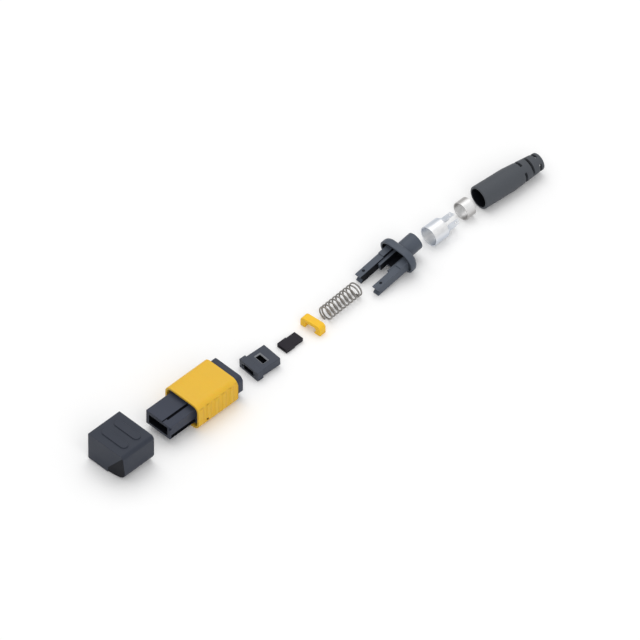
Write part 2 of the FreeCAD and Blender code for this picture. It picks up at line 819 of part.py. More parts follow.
def crimp_tube():
    """Sheet metal tube that is crimped on the neck; two tongues with eyelets run on along the cable."""
    body = new_body("crimp_tube")
    section = new_sketch(body, "tube_section", offset="tongue_length")
    draw_circle(section, "0", "0", f"{TUBE_BORE} + tube_wall")
    draw_circle(section, "0", "0", TUBE_BORE)
    pad(body, section, "tube_length")
    tongue = new_sketch(body, "tube_tongue", "XZ_Plane", "-tongue_width / 2")
    inner = f"{TUBE_BORE} - tongue_inset"
    draw_outline(
        tongue,
        [
            (inner, "0"),
            (f"{inner} + tube_wall", "0"),
            (f"{inner} + tube_wall", "tongue_length - tongue_slope"),
            (f"{TUBE_BORE} + tongue_root", "tongue_length"),
            (f"{TUBE_BORE} + tongue_root", "tongue_length + tube_wall"),
            (f"{TUBE_BORE} + tongue_root - tube_wall", "tongue_length + tube_wall"),
            (inner, "tongue_length - tongue_slope + tube_wall"),
        ],
    )
    strip = pad(body, tongue, "tongue_width")
    eyelet = new_sketch(body, "tube_eyelet", "YZ_Plane")
    draw_circle(eyelet, "0", "eyelet_from_end", "eyelet_radius")
    hole = pocket(body, eyelet, reverse=True)
    repeat_round(body, [strip, hole], int(size("tongue_count")))
    return body


def crimp_ring():
    """Short ring that is crimped over the tongues and the cable jacket."""
    body = new_body("crimp_ring")
    section = new_sketch(body, "ring_section")
    draw_circle(section, "0", "0", "ring_radius")
    draw_circle(section, "0", "0", "ring_radius - ring_wall")
    pad(body, section, "ring_length")
    return body


def strain_relief_boot():
    """Soft boot: straight over the crimp, then tapered, with crossed slots that let it bend."""
    body = new_body("strain_relief_boot")
    profile = new_sketch(body, "relief_profile", "XZ_Plane")
    bore_end = "relief_length - relief_bore_depth"
    bore = "relief_front_radius - relief_wall"
    draw_outline(
        profile,
        [
            ("relief_tail_bore_radius", "0"),
            ("relief_tail_radius", "0"),
            ("relief_front_radius", "relief_length - relief_straight"),
            ("relief_front_radius", "relief_length"),
            (bore, "relief_length"),
            (bore, bore_end),
            ("relief_tail_bore_radius", f"{bore_end} - relief_bore_taper"),
        ],
    )
    turned = body.newObject("PartDesign::Revolution", "relief_turned")
    turned.Profile = profile
    turned.ReferenceAxis = (plane(body, "Z_Axis"), [""])
    turned.Angle = 360
    doc.recompute()
    rims = [(size("relief_front_radius"), size("relief_length")), (size("relief_tail_radius"), 0)]
    round_rims(body, "relief_edge", rims)
    for ring in range(int(size("relief_slot_rings"))):
        role = ("XZ_Plane", "YZ_Plane")[ring % 2]
        low = f"relief_slot_from_tail + {ring} * relief_slot_pitch"
        slot = new_sketch(body, f"relief_slot_{ring}", role, "relief_bridge / 2")
        high = f"{low} + relief_slot_width"
        draw_rectangle(slot, "-relief_front_radius", low, "relief_front_radius", high)
        mirror(body, [pocket(body, slot, reverse=True)], role)
    return body


# Laying the pieces down

def turned_about(axis, degrees):
    return FreeCAD.Placement(FreeCAD.Vector(), FreeCAD.Rotation(axis, degrees))


def lay(body, aside, station, turn=0.0, tilt=0.0, roll=0.0):
    """Lay a piece on the floor, the middle of its Z = 0 face at a station, its mating side toward low Y."""
    body.Placement = (
        FreeCAD.Placement(FreeCAD.Vector(aside, station, 0), FreeCAD.Rotation())
        * turned_about(ALONG, turn)
        * turned_about(ACROSS, 90.0 + tilt)
        * turned_about(ALONG, roll)
    )
    lowest = body.Shape.optimalBoundingBox(False, False).ZMin
    body.Placement.Base.z -= lowest
    return body


def lay_on_axis(body, aside, station):
    """Lay a piece of the plug down on the axis that the sleeve gives it."""
    lay(body, aside, station)
    body.Placement.Base.z = size("sleeve_height") / 2
    return body


def lean(rise, run):
    """Degrees that a piece leans when it rests on two edges of unequal height."""
    return math.degrees(math.atan2(rise, run))


def lay_plug():
    """Lay down the housing with its sleeve and the two coupling springs, the only pieces put together."""
    aside = size("aside_housing")
    station = size("cap_length") + size("gap_cap_housing")
    station += size("nose_reach") + size("sleeve_length") + collar_exposed()
    spring_at = station - collar_exposed() - size("collar_hidden") - size("spring_gap")
    bore_half = size("sleeve_width") / 2 - size("sleeve_wall")
    spring_aside = bore_half - size("spring_gap") - size("coupling_spring_width") / 2
    pieces = [
        lay_on_axis(inner_housing(), aside, station),
        lay_on_axis(coupling_sleeve(), aside, station - collar_exposed()),
        lay_on_axis(coil("coupling_spring_left", "coupling_spring"), aside - spring_aside, spring_at),
        lay_on_axis(coil("coupling_spring_right", "coupling_spring"), aside + spring_aside, spring_at),
    ]
    return pieces, station


def lay_row():
    """Make every piece and lay it down in turn, each one gap behind the one before."""
    pieces = [lay(dust_cap(), size("aside_cap"), size("cap_length"))]
    plug, station = lay_plug()
    pieces += plug

    station += size("gap_housing_ferrule")
    step = (size("flange_height") - size("ferrule_height")) / 2
    tilt = -lean(step, size("ferrule_length") - size("flange_length"))
    turn = 180.0 + size("turn_ferrule")
    pieces.append(lay(mt_ferrule(), size("aside_ferrule"), station, turn=turn, tilt=tilt))
    station += size("ferrule_length")

    station += size("gap_ferrule_boot") + size("boot_length")
    pieces.append(lay(ferrule_boot(), size("aside_boot"), station))

    station += size("gap_boot_clamp") + size("clamp_depth")
    pieces.append(lay(pin_clamp(), size("aside_clamp"), station, turn=size("turn_clamp")))

    station += size("gap_clamp_spring") + size("spring_length")
    spring = coil("ferrule_spring", "spring")
    pieces.append(lay(spring, size("aside_spring"), station, turn=size("turn_spring")))

    station += size("gap_spring_body")
    station += size("neck_length") + size("body_flange_length") + size("arm_length")
    drop = size("body_flange_height") / 2 - size("arm_below_axis")
    pieces.append(lay(crimp_body(), size("aside_body"), station, tilt=lean(drop, size("arm_length"))))

    station += size("gap_body_tube") + size("tube_length") + size("tongue_length")
    pieces.append(lay(crimp_tube(), size("aside_tube"), station, roll=size("roll_tube")))

    station += size("gap_tube_ring") + size("ring_length")
    pieces.append(lay(crimp_ring(), size("aside_ring"), station))

    station += size("gap_ring_relief") + size("relief_length")
    turn, roll = size("turn_relief"), size("roll_relief")
    pieces.append(lay(strain_relief_boot(), size("aside_relief"), station, turn=turn, roll=roll))
    return pieces


def centre_row(pieces):
    """Move the whole row so that the middle of its outline is over the origin."""
    box = FreeCAD.BoundBox()
    for piece in pieces:
        box.add(piece.Shape.optimalBoundingBox(False, False))
    for piece in pieces:
        piece.Placement.Base -= FreeCAD.Vector(box.Center.x, box.Center.y, 0)


def check_pieces(pieces):
    """Stop if any object of the document failed or any piece is not one sound solid."""
    for thing in doc.Objects:
        if "Invalid" in thing.State or "Error" in thing.State:
            raise RuntimeError(f"{thing.Label} did not build")
    for piece in pieces:
        shape = piece.Shape
        if shape.isNull() or not shape.isValid() or len(shape.Solids) != 1:
            raise RuntimeError(f"{piece.Label} is not one sound solid")


fill_sheet()
pieces = lay_row()
doc.recompute()
centre_row(pieces)
doc.recompute()
check_pieces(pieces)
os.makedirs("parts", exist_ok=True)
for piece in pieces:
    piece.Shape.exportStep(os.path.join("parts", f"{piece.Label}.step"))
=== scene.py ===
"""Finish of a push-on multi-fibre connector that lies taken apart in a row on a white table."""

import math

import bpy
from mathutils import Matrix, Vector


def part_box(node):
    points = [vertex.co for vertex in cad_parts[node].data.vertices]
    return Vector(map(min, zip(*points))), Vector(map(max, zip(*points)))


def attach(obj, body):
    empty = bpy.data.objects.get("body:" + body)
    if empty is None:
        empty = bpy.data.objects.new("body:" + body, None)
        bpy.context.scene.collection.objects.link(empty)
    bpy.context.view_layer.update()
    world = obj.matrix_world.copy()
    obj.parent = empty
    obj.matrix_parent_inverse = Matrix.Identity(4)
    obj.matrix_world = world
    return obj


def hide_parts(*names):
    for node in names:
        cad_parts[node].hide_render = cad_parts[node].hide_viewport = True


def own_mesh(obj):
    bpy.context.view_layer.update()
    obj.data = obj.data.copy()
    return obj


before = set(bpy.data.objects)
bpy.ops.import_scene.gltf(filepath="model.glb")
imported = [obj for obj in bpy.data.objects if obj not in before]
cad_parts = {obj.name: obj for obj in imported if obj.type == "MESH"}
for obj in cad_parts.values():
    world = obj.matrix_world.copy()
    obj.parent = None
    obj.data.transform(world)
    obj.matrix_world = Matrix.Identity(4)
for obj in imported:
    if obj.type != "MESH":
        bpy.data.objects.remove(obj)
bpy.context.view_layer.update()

bl_info = {
    "name": "Fibre connector kit",
    "version": (1, 0, 0),
    "blender": (4, 5, 0),
    "location": "3D View > Sidebar > Connector kit",
    "description": "Gives the pieces of a fibre connector their finish and lights them on a white table",
    "category": "Object",
}

MM = 0.001
ROW = Vector((0, 1, 0))
COIL_STEPS = 48
COIL_SIDES = 16
# Grain per metre across, along and up the row
WIRE_GRAIN = (2000.0, 2000.0, 2000.0)
SHEET_LINES = (3000.0, 300.0, 3000.0)
# Colour sockets of a Mix node: the two that go in and the one that comes out
MIX_FIRST, MIX_SECOND, MIX_RESULT = 6, 7, 2


# Settings that the panel shows


def length(name, description, default):
    """A length in metres."""
    return bpy.props.FloatProperty(
        name=name,
        description=description,
        default=default,
        unit="LENGTH",
        subtype="DISTANCE",
        precision=5,
    )


def angle(name, description, degrees):
    """An angle whose default is given in degrees."""
    return bpy.props.FloatProperty(
        name=name, description=description, default=math.radians(degrees), subtype="ANGLE"
    )


def colour(name, description, default):
    """A colour in linear red, green and blue."""
    return bpy.props.FloatVectorProperty(
        name=name, description=description, default=default, subtype="COLOR", size=3, min=0.0, max=1.0
    )


def number(name, description, default):
    """A number without a unit of Blender's own."""
    return bpy.props.FloatProperty(name=name, description=description, default=default)


def count(name, description, default):
    """A whole number."""
    return bpy.props.IntProperty(name=name, description=description, default=default)


class KitSizes(bpy.types.PropertyGroup):
    moulded_edge: length("Moulded edge", "Rounding on the edges of the hard plastic pieces", 0.08 * MM)
    soft_edge: length("Soft edge", "Rounding on the edges of the rubber pieces", 0.12 * MM)
    sheet_edge: length("Sheet edge", "Rounding on the edges of the sheet metal pieces", 0.05 * MM)
    clamp_edge: length("Clamp edge", "Rounding on the edges of the pin clamp", 0.18 * MM)
    spring_wire: length("Spring wire", "Diameter of the wire of the ferrule spring", 0.42 * MM)
    spring_turns: count("Spring turns", "Turns of the ferrule spring, which has closed ends", 10)
    spring_turn: angle("Spring turned", "How far the ferrule spring lies out of line with the row", 3.0)
    relief_turn: angle("Boot turned", "How far the relief boot lies out of line with the row", -4.5)
    key_groove: length("Key groove", "Width of the groove along the foot of the key", 0.5 * MM)
    key_groove_depth: length("Key groove depth", "Depth of the groove at the key's foot", 0.3 * MM)
    flange_rim: length("Flange rim", "Width of the rim round the hollow in the flange", 0.6 * MM)
    flange_hollow: length("Flange hollow", "Depth of the hollow in the flange", 0.8 * MM)
    window_rim: length("Window rim", "Width of the slope round the window of the ferrule", 0.3 * MM)
    coupling_wire: length("Coupling wire", "Diameter of the wire of the two coupling springs", 0.15 * MM)
    coupling_turns: count("Coupling turns", "Turns of each coupling spring", 8)


class KitColours(bpy.types.PropertyGroup):
    cap: colour("Cap", "Dark moulded plastic of the dust cap", (0.038, 0.044, 0.060))
    # Painted shade: a near-black colour for the slope on the dust cap's corner and for the floor of the crimp
    # body's flange hollow, where shade falls
    painted_deep_shade: colour("Facet", "Slope on the dust cap and hollow of the crimp body's flange", (0.010, 0.011, 0.015))
    slate: colour("Slate", "Dark moulded plastic of the housing", (0.044, 0.051, 0.074))
    # Painted shade: the inner sides and the dimples of the crimp body's arms are darkened for the shade that
    # falls there
    shaded: colour("Shaded", "Inner sides and dimples of the crimp body's arms", (0.020, 0.023, 0.030))
    # Painted shade: a near-black colour for grooves, bores and cavities, standing in for the shade inside them
    recess_shade: colour("Recess", "Grooves and bores that no light reaches", (0.006, 0.007, 0.010))
    body: colour("Body", "Dark moulded plastic of the crimp body", (0.086, 0.100, 0.126))
    yellow: colour("Yellow", "Moulded plastic of the coupling sleeve", (0.80, 0.48, 0.045))
    # Painted shade: a dark amber for the inside of the dimple on the sleeve's side
    amber_shade: colour("Amber", "Shaded dimple on the side of the coupling sleeve", (0.30, 0.13, 0.01))
    # Painted highlight: the sloped rim round the ferrule's window is paler than the resin, for the light that
    # it catches from above
    rim: colour("Rim", "Sloped rim round the window of the ferrule", (0.23, 0.24, 0.26))
    clamp: colour("Clamp", "Moulded plastic of the pin clamp", (0.92, 0.55, 0.035))
    resin: colour("Resin", "Filled resin of the ferrule", (0.060, 0.068, 0.088))
    insert: colour("Insert", "Rubber of the ferrule boot", (0.022, 0.020, 0.026))
    rubber: colour("Rubber", "Elastomer of the strain relief boot", (0.082, 0.089, 0.101))
    wire: colour("Wire", "Drawn wire of the springs", (0.31, 0.295, 0.28))
    sheet: colour("Sheet", "Plated sheet of the crimp tube and the crimp ring", (1.0, 1.0, 1.0))
    # Painted reflection: the crimp tube and the crimp ring take these colours where they turn away from the
    # eye, standing in for the darker room that they mirror
    tube_side_reflection: colour("Tube side", "Crimp tube where it turns away from the eye", (0.62, 0.66, 0.72))
    ring_side_reflection: colour("Ring side", "Crimp ring where it turns away from the eye", (0.42, 0.41, 0.40))


class KitStage(bpy.types.PropertyGroup):
    azimuth: angle("Azimuth", "Direction of view round the row", 45.0)
    elevation: angle("Elevation", "Height of view above the table", 46.0)
    frame_width: length("Frame width", "Width of the table that the camera sees", 164.1 * MM)
    aim_right: length("Aim right", "How far right of the row's middle the view is centred", -0.218 * MM)
    aim_up: length("Aim up", "How far above the row's middle the view is centred", -0.644 * MM)
    lens: number("Lens", "Focal length in millimetres", 1500.0)
    table_size: length("Table size", "Side of the square table top", 6.0)
    room_light: number("Room light", "Level of the even light", 0.6)
    lamp_size: length("Lamp size", "Side of each square lamp", 1.2)
    key_light: number("Key light", "Power of the main lamp in watts", 7.0)
    fill_light: number("Fill light", "Power of the side lamp in watts", 4.8)
    bounce: number("Bounce", "Share of its light that the table gives back", 0.8)


# Selecting and shaping


def only(piece):
    """Make one object the only selected and active one."""
    bpy.ops.object.select_all(action="DESELECT")
    piece.select_set(True)
    bpy.context.view_layer.objects.active = piece


def apply_modifier(piece, kind, **settings):
    """Add a modifier of a kind with its settings, and apply it."""
    modifier = piece.modifiers.new(kind.title(), kind)
    for name, value in settings.items():
        setattr(modifier, name, value)
    only(piece)
    bpy.ops.object.modifier_apply(modifier=modifier.name)


def copy_of_node(node, name, whole=True):
    """A copy of a node of the frame with its points merged and, where whole, its flat faces too."""
    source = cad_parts[node]
    piece = bpy.data.objects.new(name, source.data.copy())
    bpy.context.scene.collection.objects.link(piece)
    only(piece)
    bpy.ops.object.mode_set(mode="EDIT")
    bpy.ops.mesh.select_all(action="SELECT")
    bpy.ops.mesh.remove_doubles(threshold=0.0005 * MM)
    if whole:
        bpy.ops.mesh.dissolve_limited(angle_limit=math.radians(0.2), use_dissolve_boundaries=False)
    bpy.ops.object.mode_set(mode="OBJECT")
    return piece


def soften_edges(piece, width, sharp_from=35.0, segments=3):
    """Round every edge that turns by more than an angle, and shade the faces smooth between the rest."""
    apply_modifier(
        piece,
        "BEVEL",
        width=width,
        segments=segments,
        limit_method="ANGLE",
        angle_limit=math.radians(sharp_from),
        use_clamp_overlap=False,
        harden_normals=False,
        miter_outer="MITER_ARC",
    )
    only(piece)
    bpy.ops.object.shade_smooth_by_angle(angle=math.radians(sharp_from))
    apply_modifier(piece, "WEIGHTED_NORMAL", keep_sharp=True)


def seat(piece, body, slot, material, *nodes):
    """Give a piece its material and its place in the frame."""
    piece.data.materials.clear()
    piece.data.materials.append(material)
    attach(piece, body)
    if nodes:
        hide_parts(*nodes)
    return piece


def bevel_edges(piece, wanted, **how):
    """Bevel the edges of a piece that are wanted for where their two ends lie."""
    only(piece)
    bpy.ops.object.mode_set(mode="EDIT")
    bpy.ops.mesh.select_mode(type="EDGE")
    bpy.ops.mesh.select_all(action="DESELECT")
    bpy.ops.object.mode_set(mode="OBJECT")
    places = [point.co for point in piece.data.vertices]
    chosen = [edge for edge in piece.data.edges if wanted(*(places[end] for end in edge.vertices))]
    if not chosen:
        raise RuntimeError(f"no edge of {piece.name} is wanted")
    for edge in chosen:
        edge.select = True
    bpy.ops.object.mode_set(mode="EDIT")
    bpy.ops.mesh.bevel(clamp_overlap=False, **how)
    bpy.ops.object.mode_set(mode="OBJECT")


def block(low, high, corner=0.0):
    """A straight block between two corners; its four edges along z can be rounded."""
    middle = (low + high) / 2
    bpy.ops.object.select_all(action="DESELECT")
    bpy.ops.mesh.primitive_cube_add(size=1.0, location=middle)
    made = bpy.context.active_object
    made.scale = high - low
    only(made)
    bpy.ops.object.transform_apply(location=True, rotation=True, scale=True)

    def upright(first, second):
        return (first.z - middle.z) * (second.z - middle.z) < 0

    if corner:
        bevel_edges(made, upright, offset=corner, segments=8)
    return made


def cut(piece, cutter):
    """Cut one piece with another, which is used up."""
    apply_modifier(piece, "BOOLEAN", operation="DIFFERENCE", solver="EXACT", object=cutter)
    only(cutter)
    bpy.ops.object.delete()


def chamfer(piece, width, wanted):
    """Slope the edges of a piece whose two ends are both wanted."""

    def both(first, second):
        return wanted(first) and wanted(second)

    bevel_edges(piece, both, offset=width, segments=1, loop_slide=False)


def refined(node, body, slot, material, width, shaping=None, whole=True):
    """A finished copy of a node, with its edges rounded after any shaping of its own."""
    piece = copy_of_node(node, f"{node}_finished", whole)
    if shaping:
        shaping(piece)
    soften_edges(piece, width)
    return seat(piece, body, slot, material, node)


def close_ends(piece, wire, turns, run):
    """Slide the rings of a coil along its axis, so that its end turns nearly meet their neighbours.

    The pitch stays near for the closed part of a turn at each end and widens over the next part.
    """
    closed = 0.5
    widening = 0.5
    ends = 2 * closed + widening
    near = 1.03 * wire
    wide = (run - ends * near) / (turns - ends)
    places = [0.0]
    for ring in range(turns * COIL_STEPS):
        turn = (ring + 0.5) / COIL_STEPS
        from_end = min(turn, turns - turn)
        share = min(max((from_end - closed) / widening, 0.0), 1.0)
        places.append(places[-1] + (near + share * (wide - near)) / COIL_STEPS)
    for point in piece.data.vertices:
        ring = point.index // COIL_SIDES
        point.co.z += places[ring] - run * ring / (turns * COIL_STEPS)


def coil(name, node, wire, turns, turned):
    """A spring in the box of a node, wound round an axis that is turned from the row."""
    low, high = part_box(node)
    middle = (low + high) / 2
    radius = (high.z - low.z - wire) / 2
    span = (high.y - low.y - abs(math.sin(turned)) * (high.z - low.z)) / math.cos(turned)
    bpy.ops.object.select_all(action="DESELECT")
    bpy.ops.mesh.primitive_circle_add(
        vertices=COIL_SIDES, radius=wire / 2, location=(radius, 0, 0), rotation=(math.pi / 2, 0, 0)
    )
    piece = bpy.context.active_object
    piece.name = name
    only(piece)
    bpy.ops.object.transform_apply(location=True, rotation=True, scale=True)
    apply_modifier(
        piece,
        "SCREW",
        axis="Z",
        angle=2 * math.pi,
        steps=COIL_STEPS,
        render_steps=COIL_STEPS,
        screw_offset=(span - wire) / turns,
        iterations=turns,
        use_normal_calculate=True,
    )
    close_ends(piece, wire, turns, span - wire)
    piece.data.transform(Matrix.Translation((0, 0, (wire - span) / 2)))
    only(piece)
    bpy.ops.object.mode_set(mode="EDIT")
    bpy.ops.mesh.select_all(action="SELECT")
    bpy.ops.mesh.remove_doubles(threshold=0.001 * MM)
    bpy.ops.mesh.select_all(action="DESELECT")
    bpy.ops.mesh.select_mode(type="EDGE")
    bpy.ops.mesh.select_non_manifold(extend=False)
    bpy.ops.mesh.fill_holes(sides=COIL_SIDES)
    bpy.ops.mesh.select_all(action="SELECT")
    bpy.ops.mesh.normals_make_consistent(inside=False)
    bpy.ops.object.mode_set(mode="OBJECT")
    # Laid along the row with the two ends of the wire underneath
    laid = Matrix.Rotation(math.pi / 2, 4, "X") @ Matrix.Rotation(-math.pi / 2, 4, "Z")
    piece.data.transform(Matrix.Translation(middle) @ Matrix.Rotation(turned, 4, "Z") @ laid)
    only(piece)
    bpy.ops.object.shade_smooth_by_angle(angle=math.radians(50))
    return piece


def paint(piece, material, wanted):
    """Give the wanted faces of a piece a second finish; in this script each such finish is painted shade or a
    painted highlight.
    """
    piece.data.materials.append(material)
    for face in piece.data.polygons:
        if wanted(face):
            face.material_index = len(piece.data.materials) - 1


def paint_slope(piece, material):
    """Give a second finish to the largest sloping face of a piece and to what lies level with it."""
    sloping = [face for face in piece.data.polygons if max(abs(part) for part in face.normal) < 0.999]
    steepest = max(sloping, key=lambda face: face.area).normal.copy()
    paint(piece, material, lambda face: face.normal.dot(steepest) > 0.9998)


def looks_at_axis(face, point, direction):
    """Whether a face of a hollow round piece is turned toward its axis."""
    arm = face.center - point
    arm -= direction * arm.dot(direction)
    return face.normal.dot(arm) < -0.5 * arm.length


# Node groups that several finishes share


def add(tree, kind, **settings):
    """A node of a kind, with its sockets or else its properties set by name."""
    made = tree.nodes.new(kind)
    for name, value in settings.items():
        if name in made.inputs:
            made.inputs[name].default_value = value
        else:
            setattr(made, name, value)
    return made


def new_group(name, inputs, outputs):
    """An empty shader group; each input is a name, a socket kind and its value."""
    group = bpy.data.node_groups.new(name, "ShaderNodeTree")
    for label, kind, value in inputs:
        socket = group.interface.new_socket(label, in_out="INPUT", socket_type=kind)
        if value is not None:
            socket.default_value = value
    for label, kind in outputs:
        group.interface.new_socket(label, in_out="OUTPUT", socket_type=kind)
    return group, group.nodes.new("NodeGroupInput"), group.nodes.new("NodeGroupOutput")


def ramp(tree, source, low, high, start=None, end=None):
    """A value from 0 to 1, or between two sockets' values, as the source goes from low to high."""
    spread = add(tree, "ShaderNodeMapRange", clamp=True)
    spread.inputs["From Min"].default_value = low
    spread.inputs["From Max"].default_value = high
    tree.links.new(source, spread.inputs["Value"])
    for label, socket in (("To Min", start), ("To Max", end)):
        if socket is not None:
            tree.links.new(socket, spread.inputs[label])
    return spread.outputs["Result"]


def math_node(tree, operation, first, second):
    """A sum, product or the like of two numbers or sockets."""
    made = add(tree, "ShaderNodeMath", operation=operation)
    for socket, value in zip(made.inputs, (first, second)):
        if isinstance(value, (int, float)):
            socket.default_value = value
        else:
            tree.links.new(value, socket)
    return made.outputs[0]


def noise(tree, vector, scale, detail=2.0, roughness=0.5):
    """Noise in space; the scale is a number or a socket."""
    made = add(tree, "ShaderNodeTexNoise", Detail=detail, Roughness=roughness)
    tree.links.new(vector, made.inputs["Vector"])
    if isinstance(scale, (int, float)):
        made.inputs["Scale"].default_value = scale
    else:
        tree.links.new(scale, made.inputs["Scale"])
    return made.outputs["Fac"]


def moulded_group():
    """Spark-eroded grain, slow flow marks and a slight change of tone, as on moulded parts."""
    group, given, out = new_group(
        "moulded_surface",
        [
            ("Vector", "NodeSocketVector", None),
            ("Colour", "NodeSocketColor", (0.5, 0.5, 0.5, 1)),
            ("Grain per metre", "NodeSocketFloat", 5000.0),
            ("Grain depth", "NodeSocketFloat", 0.5),
            ("Tone change", "NodeSocketFloat", 0.08),
            ("Gloss low", "NodeSocketFloat", 0.4),
            ("Gloss high", "NodeSocketFloat", 0.55),
        ],
        [("Colour", "NodeSocketColor"), ("Roughness", "NodeSocketFloat"), ("Height", "NodeSocketFloat")],
    )
    flow_per_metre = 220.0
    place, change = given.outputs["Vector"], given.outputs["Tone change"]
    grain = noise(group, place, given.outputs["Grain per metre"], detail=3.0, roughness=0.6)
    flow = noise(group, place, flow_per_metre)
    tone = math_node(group, "MULTIPLY", math_node(group, "SUBTRACT", flow, 0.5), change)
    speck = math_node(group, "MULTIPLY", math_node(group, "SUBTRACT", grain, 0.5), change)
    level = math_node(group, "ADD", math_node(group, "ADD", tone, speck), 1.0)
    scaled = add(group, "ShaderNodeVectorMath", operation="SCALE")
    group.links.new(given.outputs["Colour"], scaled.inputs[0])
    group.links.new(level, scaled.inputs["Scale"])
    group.links.new(scaled.outputs[0], out.inputs["Colour"])
    gloss = ramp(group, flow, 0.3, 0.7, given.outputs["Gloss low"], given.outputs["Gloss high"])
    group.links.new(gloss, out.inputs["Roughness"])
    height = math_node(group, "MULTIPLY", grain, given.outputs["Grain depth"])
    group.links.new(height, out.inputs["Height"])
    return group


def drawn_group():
    """Fine lines that a die or a roller leaves along the metal, and the dulling between them."""
    group, given, out = new_group(
        "drawn_metal",
        [
            ("Vector", "NodeSocketVector", None),
            ("Stretch", "NodeSocketVector", (9000.0, 500.0, 9000.0)),
            ("Gloss low", "NodeSocketFloat", 0.2),
            ("Gloss high", "NodeSocketFloat", 0.4),
        ],
        [("Mask", "NodeSocketFloat"), ("Roughness", "NodeSocketFloat"), ("Height", "NodeSocketFloat")],
    )
    stretched = add(group, "ShaderNodeVectorMath", operation="MULTIPLY")
    group.links.new(given.outputs["Vector"], stretched.inputs[0])
    group.links.new(given.outputs["Stretch"], stretched.inputs[1])
    lines = noise(group, stretched.outputs[0], 1.0, detail=3.0, roughness=0.6)
    clouds_per_metre = 600.0
    clouds = noise(group, given.outputs["Vector"], clouds_per_metre)
    half_lines = math_node(group, "MULTIPLY", lines, 0.5)
    half_clouds = math_node(group, "MULTIPLY", clouds, 0.5)
    both = math_node(group, "ADD", half_lines, half_clouds)
    low, high = 0.35, 0.65
    gloss = ramp(group, both, low, high, given.outputs["Gloss low"], given.outputs["Gloss high"])
    group.links.new(gloss, out.inputs["Roughness"])
    group.links.new(ramp(group, both, low, high), out.inputs["Mask"])
    group.links.new(lines, out.inputs["Height"])
    return group


# Finishes

GROUPS = {}


def shared(name):
    """A node group of this file, built when it is first asked for."""
    if name not in GROUPS:
        makers = {"moulded": moulded_group, "drawn": drawn_group}
        GROUPS[name] = makers[name]()
    return GROUPS[name]


def new_finish(name):
    """A material with its node tree, its Principled shader and its object coordinates."""
    material = bpy.data.materials.new(name)
    material.use_nodes = True
    tree = material.node_tree
    shader = tree.nodes["Principled BSDF"]
    place = tree.nodes.new("ShaderNodeTexCoord").outputs["Object"]
    return material, tree, shader, place


def group_in(tree, name, place, **values):
    """A shared group in a material, with its inputs set by name."""
    made = tree.nodes.new("ShaderNodeGroup")
    made.node_tree = shared(name)
    tree.links.new(place, made.inputs["Vector"])
    for label, value in values.items():
        made.inputs[label.replace("_", " ")].default_value = value
    return made


def bump(tree, shader, height, strength, distance):
    """Let a height disturb the normals of a shader."""
    raised = add(tree, "ShaderNodeBump", Strength=strength, Distance=distance)
    tree.links.new(height, raised.inputs["Height"])
    tree.links.new(raised.outputs["Normal"], shader.inputs["Normal"])


def moulded(name, colour, low, high, grain=5000.0, depth=0.5, tone=0.1, soft=0.0, level=0.15):
    """Moulded plastic or rubber, whose roughness goes from low to high.

    The grain is given per metre, with its depth; the tone is how far the colour varies, soft how much light
    passes under the surface, and the level how much the surface mirrors.
    """
    material, tree, shader, place = new_finish(name)
    surface = group_in(
        tree,
        "moulded",
        place,
        Colour=(*colour, 1),
        Grain_per_metre=grain,
        Grain_depth=depth,
        Tone_change=tone,
        Gloss_low=low,
        Gloss_high=high,
    )
    tree.links.new(surface.outputs["Colour"], shader.inputs["Base Color"])
    tree.links.new(surface.outputs["Roughness"], shader.inputs["Roughness"])
    bump(tree, shader, surface.outputs["Height"], 0.35, 0.01 * MM)
    shader.inputs["Specular IOR Level"].default_value = level
    if soft:
        shader.inputs["Subsurface Weight"].default_value = soft
        shader.inputs["Subsurface Radius"].default_value = (1.0, 0.45, 0.12)
        shader.inputs["Subsurface Scale"].default_value = 0.6 * MM
    return material


def unlit(name, colour, grain):
    """Near-black moulded plastic whose dark colour is painted shade, for places that little light reaches."""
    return moulded(name, colour, 0.5, 0.6, grain=grain, level=0.08)


def metal(name, colour, stretch, low, high, share=1.0, painted_reflection=None):
    """Drawn or rolled metal, whose roughness goes from low to high; the share is how much of it mirrors.

    The stretch is the grain per metre along x, y and z. Sheet that turns away from the eye takes a second
    colour, a painted reflection of a darker part of the room.
    """
    material, tree, shader, place = new_finish(name)
    drawn = group_in(tree, "drawn", place, Stretch=stretch, Gloss_low=low, Gloss_high=high)
    tint = add(tree, "ShaderNodeMix", data_type="RGBA", blend_type="MIX")
    tree.links.new(drawn.outputs["Mask"], tint.inputs["Factor"])
    dulled = 0.84
    tint.inputs[MIX_FIRST].default_value = (*[dulled * part for part in colour], 1)
    tint.inputs[MIX_SECOND].default_value = (*colour, 1)
    tone = tint.outputs[MIX_RESULT]
    if painted_reflection:
        # Painted reflection: the colour turns darker where the surface turns away from the eye
        facing = add(tree, "ShaderNodeLayerWeight", Blend=0.5).outputs["Facing"]
        reflection_tint = add(tree, "ShaderNodeMix", data_type="RGBA", blend_type="MIX")
        tree.links.new(ramp(tree, facing, 0.1, 0.5), reflection_tint.inputs["Factor"])
        tree.links.new(tone, reflection_tint.inputs[MIX_FIRST])
        reflection_tint.inputs[MIX_SECOND].default_value = (*painted_reflection, 1)
        tone = reflection_tint.outputs[MIX_RESULT]
    tree.links.new(tone, shader.inputs["Base Color"])
    tree.links.new(drawn.outputs["Roughness"], shader.inputs["Roughness"])
    bump(tree, shader, drawn.outputs["Height"], 0.2, 0.003 * MM)
    shader.inputs["Metallic"].default_value = share
    return material


# Operators, one for each piece or group of like pieces

# Body of the frame that holds every piece but the sleeve
KIT = "plug_and_kit"


def settings():
    """The sizes and the colours that the panel shows."""
    scene = bpy.context.scene
    return scene.kit_sizes, scene.kit_colours


